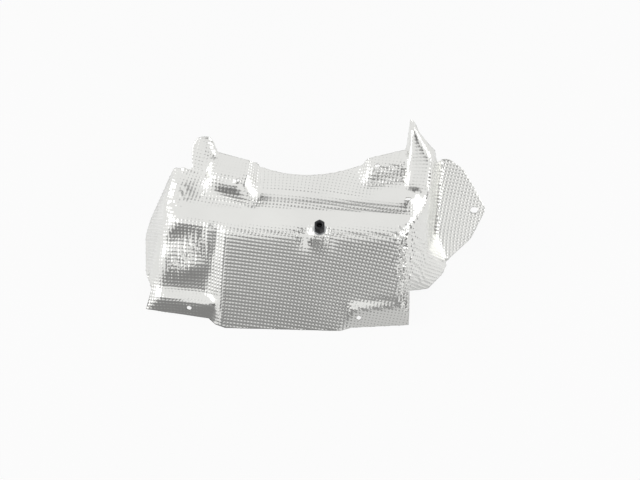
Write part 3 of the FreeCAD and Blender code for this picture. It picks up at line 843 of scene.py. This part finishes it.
@dataclass
class Standoff:
    """The hex standoff and its washer, on the axis of the part's threaded mount."""

    record: dict
    hex_flats: float = 13.0 * MM
    hex_length: float = 14.0 * MM
    crown_angle: float = math.radians(30.0)
    crown_share: float = 0.965
    corner_round: float = 0.035
    mouth_chamfer: float = 0.45 * MM
    thread_major: float = 3.95 * MM
    thread_pitch: float = 1.25 * MM
    steps_per_turn: int = 6
    around: int = 96
    edge_ease: float = 0.15 * MM
    tip_share: float = 0.6
    tip_step: float = 0.9 * MM
    tip_depth: float = 2.0 * MM
    shank_radius: float = 4.0 * MM
    head_radius: float = 6.0 * MM
    head_height: float = 1.4 * MM
    head_profile: tuple = ((0.5, 1.0), (0.85, 0.8), (1.0, 0.35), (1.0, 0.0))
    sheet: float = 1.0 * MM
    washer_radius: float = 8.5 * MM
    washer_thickness: float = 1.6 * MM
    washer_edge: float = 0.35 * MM
    washer_bore: float = 4.2 * MM

    def __post_init__(self) -> None:
        """Take the axis, the mouth and the thread's size from the mount."""
        mount = next(m for m in self.record["mounts"] if m["name"] == "standoff_thread")
        axis = Vector(mount["axis"]).normalized()
        self.thread_minor = mount["dims"]["r_mm"] * MM
        self.thread_depth = mount["dims"]["length_mm"] * MM
        mouth = Vector(mount["pos_m"]) + axis * (self.thread_depth / 2.0)
        seat = mouth - axis * (self.hex_length + self.washer_thickness)
        tilt = math.atan2(-axis.y, axis.z)
        self.matrix = Matrix.Translation(seat) @ Matrix.Rotation(tilt, 4, "X")
        self.angles = np.arange(self.around) * 2.0 * math.pi / self.around

    def ring(self, radius: object, height: object) -> np.ndarray:
        """Return a ring round the axis, with a radius and height given once or at each angle."""
        wide = np.broadcast_to(radius, self.angles.shape)
        high = np.broadcast_to(height, self.angles.shape)
        return np.stack([wide * np.cos(self.angles), wide * np.sin(self.angles), high], 1)

    def hex_radius(self) -> np.ndarray:
        """Return the hex outline's radius at each angle, with its corners eased."""
        sector = math.pi / 3.0
        off = (self.angles - math.pi / 2.0 + sector / 2.0) % sector - sector / 2.0
        flat = self.hex_flats / 2.0 / np.cos(sector / 2.0 - np.abs(off))
        corner = self.hex_flats / math.sqrt(3.0) * (1.0 - self.corner_round)
        return np.minimum(flat, corner)

    def hex_piece(self) -> bpy.types.Mesh:
        """Build the hex with its crown, thread, shank and riveted head.

        Returns:
            The closed mesh.
        """
        outline = self.hex_radius()
        base = self.washer_thickness
        top = base + self.hex_length
        crown = self.hex_flats / 2.0 * self.crown_share
        slope = math.tan(self.crown_angle)
        edge = top - np.maximum(outline - crown, 0.0) * slope
        ease = self.edge_ease
        rings = [self.ring(self.shank_radius, base), self.ring(outline - ease, base),
                 self.ring(outline, base + ease), self.ring(outline, edge - ease),
                 self.ring(outline - ease, edge + ease * slope), self.ring(crown, top),
                 self.ring(self.thread_major + self.mouth_chamfer, top)]
        turns = self.thread_depth / self.thread_pitch
        count = int(turns * self.steps_per_turn)
        lead = self.angles / (2.0 * math.pi)
        for i in range(1, count + 1):
            depth = self.mouth_chamfer + (self.thread_depth - self.mouth_chamfer) * i / count
            phase = (depth / self.thread_pitch + lead) % 1.0
            ridge = np.abs(2.0 * phase - 1.0)
            wide = self.thread_minor + (self.thread_major - self.thread_minor) * ridge
            rings.append(self.ring(wide, top - depth))
        floor = top - self.thread_depth
        rings.append(self.ring(self.tip_share * self.thread_minor, floor - self.tip_step))
        rings.append(self.ring(POLE, floor - self.tip_depth))
        under = -self.sheet
        rings.append(self.ring(POLE, under - self.head_height))
        for wide, high in self.head_profile:
            rings.append(self.ring(wide * self.head_radius, under - high * self.head_height))
        rings.append(self.ring(self.shank_radius, under))
        return ring_mesh("standoff_hex", rings, self.matrix)

    def washer_piece(self) -> bpy.types.Mesh:
        """Build the washer with its eased edges.

        Returns:
            The closed mesh.
        """
        ease, top = self.washer_edge, self.washer_thickness
        profile = [(self.washer_bore, 0.0), (self.washer_radius - ease, 0.0),
                   (self.washer_radius - 0.3 * ease, 0.3 * ease), (self.washer_radius, ease),
                   (self.washer_radius, top - ease),
                   (self.washer_radius - 0.3 * ease, top - 0.3 * ease),
                   (self.washer_radius - ease, top), (self.washer_bore + 0.5 * ease, top),
                   (self.washer_bore, top - 0.5 * ease)]
        rings = [self.ring(radius, height) for radius, height in profile]
        return ring_mesh("standoff_collar", rings, self.matrix)


@dataclass(frozen=True)
class Card:
    """A card that only reflections see: its corners in metres and its brightness."""

    name: str
    corners: tuple
    shade: float


@dataclass
class Studio:
    """Pale floor, soft boxes, dark cards that only reflections see, and the camera."""

    look_at: tuple[float, float, float] = (7.95 * MM, 31.55 * MM, 0.0)
    elevation: float = math.radians(55.0)
    distance: float = 1.75
    lens: float = 70.3
    floor_size: float = 8.0
    floor_drop: float = 0.8 * MM
    surround: float = 1.0
    fill: float = 0.55
    floor_tint: tuple[float, float, float, float] = (0.9, 0.9, 0.9, 1.0)
    floor_roughness: float = 0.9
    floor_glow: float = 0.9
    box_place: tuple[float, float, float] = (1.5, -0.1, 0.9)
    box_size: float = 1.2
    box_power: float = 6.0
    cards: tuple[Card, ...] = (
        Card("front_card", ((-1.5, -2.0, 0.0), (0.9, -2.0, 0.0), (0.9, -2.0, 1.2),
                            (-1.5, -2.0, 0.8)), 0.35),
        Card("pad_card", ((-0.95, -1.0, 0.28), (-0.52, -1.0, 0.28), (-0.52, -1.0, 0.75),
                          (-0.95, -1.0, 0.75)), 0.22),
        Card("wing_front_card", ((0.19, -1.0, 0.5), (0.5, -1.0, 0.5), (0.5, -1.0, 0.95),
                                 (0.19, -1.0, 0.95)), 0.2),
        Card("right_card", ((0.82, -0.76, 0.0), (1.15, -0.12, 0.0), (1.15, -0.12, 0.5),
                            (0.82, -0.76, 0.5)), 0.25),
        Card("left_mat", ((-1.5, -2.0, 0.0), (0.03, -2.0, 0.0), (0.03, -0.05, 0.0),
                          (-0.26, -0.05, 0.0)), 0.28),
        Card("right_mat", ((0.03, -2.0, 0.0), (0.9, -2.0, 0.0), (0.26, -0.05, 0.0),
                           (0.03, -0.05, 0.0)), 0.68),
        Card("panel_ceiling_card", ((-0.14, -0.62, 1.6), (0.12, -0.62, 1.6), (0.12, 0.25, 1.6),
                                    (-0.14, 0.25, 1.6)), 0.35),
        Card("wing_ceiling_card", ((0.21, -0.7, 1.6), (0.6, -0.7, 1.6), (0.6, 0.25, 1.6),
                                   (0.21, 0.25, 1.6)), 0.2),
    )

    def floor(self) -> None:
        """Lay the floor as a plain pale plane."""
        half = self.floor_size / 2.0
        corners = [(x, y, -self.floor_drop) for x, y in ((-half, -half), (half, -half), (half, half),
                                                        (-half, half))]
        mesh = bpy.data.meshes.new("floor")
        mesh.from_pydata(corners, [], [(0, 1, 2, 3)])
        piece = new_object("floor", mesh)
        made = bpy.data.materials.new("pale_floor")
        made.use_nodes = True
        nodes, links = made.node_tree.nodes, made.node_tree.links
        shader = nodes["Principled BSDF"]
        shader.inputs["Base Color"].default_value = self.floor_tint
        shader.inputs["Roughness"].default_value = self.floor_roughness
        shader.inputs["Specular IOR Level"].default_value = 0.0
        glow = nodes.new("ShaderNodeEmission")
        glow.inputs["Color"].default_value = (1.0, 1.0, 1.0, 1.0)
        mix = nodes.new("ShaderNodeMixShader")
        links.new(self._seen_by(nodes, links, self.floor_glow), mix.inputs["Fac"])
        links.new(shader.outputs["BSDF"], mix.inputs[1])
        links.new(glow.outputs["Emission"], mix.inputs[2])
        links.new(mix.outputs["Shader"], nodes["Material Output"].inputs["Surface"])
        mesh.materials.append(made)

    @staticmethod
    def _seen_by(nodes: bpy.types.Nodes, links: bpy.types.NodeLinks,
                 share: float) -> bpy.types.NodeSocket:
        """Return a share for rays from the camera, mirrors and glass, and none for the rest."""
        path = nodes.new("ShaderNodeLightPath")
        total = path.outputs[Ray.CAMERA.value]
        for kind in (Ray.GLOSSY, Ray.TRANSMISSION):
            add = nodes.new("ShaderNodeMath")
            add.operation = "MAXIMUM"
            links.new(total, add.inputs[0])
            links.new(path.outputs[kind.value], add.inputs[1])
            total = add.outputs[0]
        scale = nodes.new("ShaderNodeMath")
        scale.operation = "MULTIPLY"
        scale.inputs[1].default_value = share
        links.new(total, scale.inputs[0])
        return scale.outputs[0]

    def world(self) -> None:
        """Light the surround: white to the camera and to mirrors, a soft fill for the rest."""
        world = bpy.data.worlds.new("studio")
        bpy.context.scene.world = world
        world.use_nodes = True
        nodes, links = world.node_tree.nodes, world.node_tree.links
        strength = nodes.new("ShaderNodeMath")
        strength.operation = "MULTIPLY_ADD"
        links.new(self._seen_by(nodes, links, self.surround - self.fill), strength.inputs[0])
        strength.inputs[1].default_value = 1.0
        strength.inputs[2].default_value = self.fill
        links.new(strength.outputs[0], nodes["Background"].inputs["Strength"])
        nodes["Background"].inputs["Color"].default_value = (1.0, 1.0, 1.0, 1.0)

    @staticmethod
    def hold(card: Card) -> None:
        """Set up a card, hidden from all but reflections."""
        mesh = bpy.data.meshes.new(card.name)
        mesh.from_pydata(list(card.corners), [], [(0, 1, 2, 3)])
        made = bpy.data.materials.new(card.name)
        made.use_nodes = True
        nodes, links = made.node_tree.nodes, made.node_tree.links
        glow = nodes.new("ShaderNodeEmission")
        glow.inputs["Color"].default_value = (card.shade, card.shade, card.shade, 1.0)
        links.new(glow.outputs["Emission"], nodes["Material Output"].inputs["Surface"])
        mesh.materials.append(made)
        piece = new_object(card.name, mesh)
        for kind in ("camera", "diffuse", "transmission", "shadow", "volume_scatter"):
            setattr(piece, "visible_" + kind, False)

    def lamp(self, name: str, side: float) -> None:
        """Hang a square soft box that faces the object, at the left (-1) or the right (1)."""
        place = (side * self.box_place[0], self.box_place[1], self.box_place[2])
        light = bpy.data.lights.new(name, "AREA")
        light.size = self.box_size
        light.energy = self.box_power
        holder = bpy.data.objects.new(name, light)
        holder.location = place
        holder.rotation_euler = Vector(place).to_track_quat("Z", "Y").to_euler()
        bpy.context.scene.collection.objects.link(holder)

    def camera(self) -> None:
        """Set the camera at the photograph's viewing angle."""
        target = Vector(self.look_at)
        back = Vector((0.0, -math.cos(self.elevation), math.sin(self.elevation)))
        data = bpy.data.cameras.new("view")
        data.sensor_width = 36.0
        data.lens = self.lens
        holder = bpy.data.objects.new("view", data)
        holder.location = target + back * self.distance
        holder.rotation_euler = back.to_track_quat("Z", "Y").to_euler()
        bpy.context.scene.collection.objects.link(holder)
        bpy.context.scene.camera = holder

    def build(self) -> None:
        """Set up the whole studio."""
        bpy.context.scene.view_settings.view_transform = "Standard"
        self.floor()
        self.world()
        for card in self.cards:
            self.hold(card)
        self.lamp("left_box", -1.0)
        self.lamp("right_box", 1.0)
        self.camera()


def mount_piece(name: str, mesh: bpy.types.Mesh, finish: Finish, node: str) -> None:
    """Dress a mesh, seat it in the frame and say which node it stands for.

    Args:
        name: the piece's name.
        mesh: its mesh.
        finish: its finish.
        node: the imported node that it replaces.
    """
    mesh.materials.append(finish.material())
    piece = new_object(name, mesh)
    settle(piece, node)


def settle(piece: bpy.types.Object, node: str) -> None:
    """Let a piece ride on the part and stand for a node."""
    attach(piece, "root")
    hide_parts(node)
    LOG.info("%s: %d faces, for %s", piece.name, len(piece.data.polygons), node)


def main() -> None:
    """Build the pieces in order, then the studio."""
    logging.basicConfig(level=logging.INFO, format="%(message)s")
    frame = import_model()
    emboss = EmbossTree()
    shield = ShieldSheet(frame["nodes"]["shield_sheet"]).build(emboss, PressMarks())
    emboss.apply(shield, EMBOSSED_ALUMINIUM.material())
    settle(shield, "shield_sheet")
    standoff = Standoff(frame["record"])
    mount_piece("standoff_hex", standoff.hex_piece(), BLACK_OXIDE, "hex_standoff")
    mount_piece("standoff_collar", standoff.washer_piece(), ZINC_PLATE, "standoff_washer")
    Studio().build()


if __name__ == "__main__":
    main()
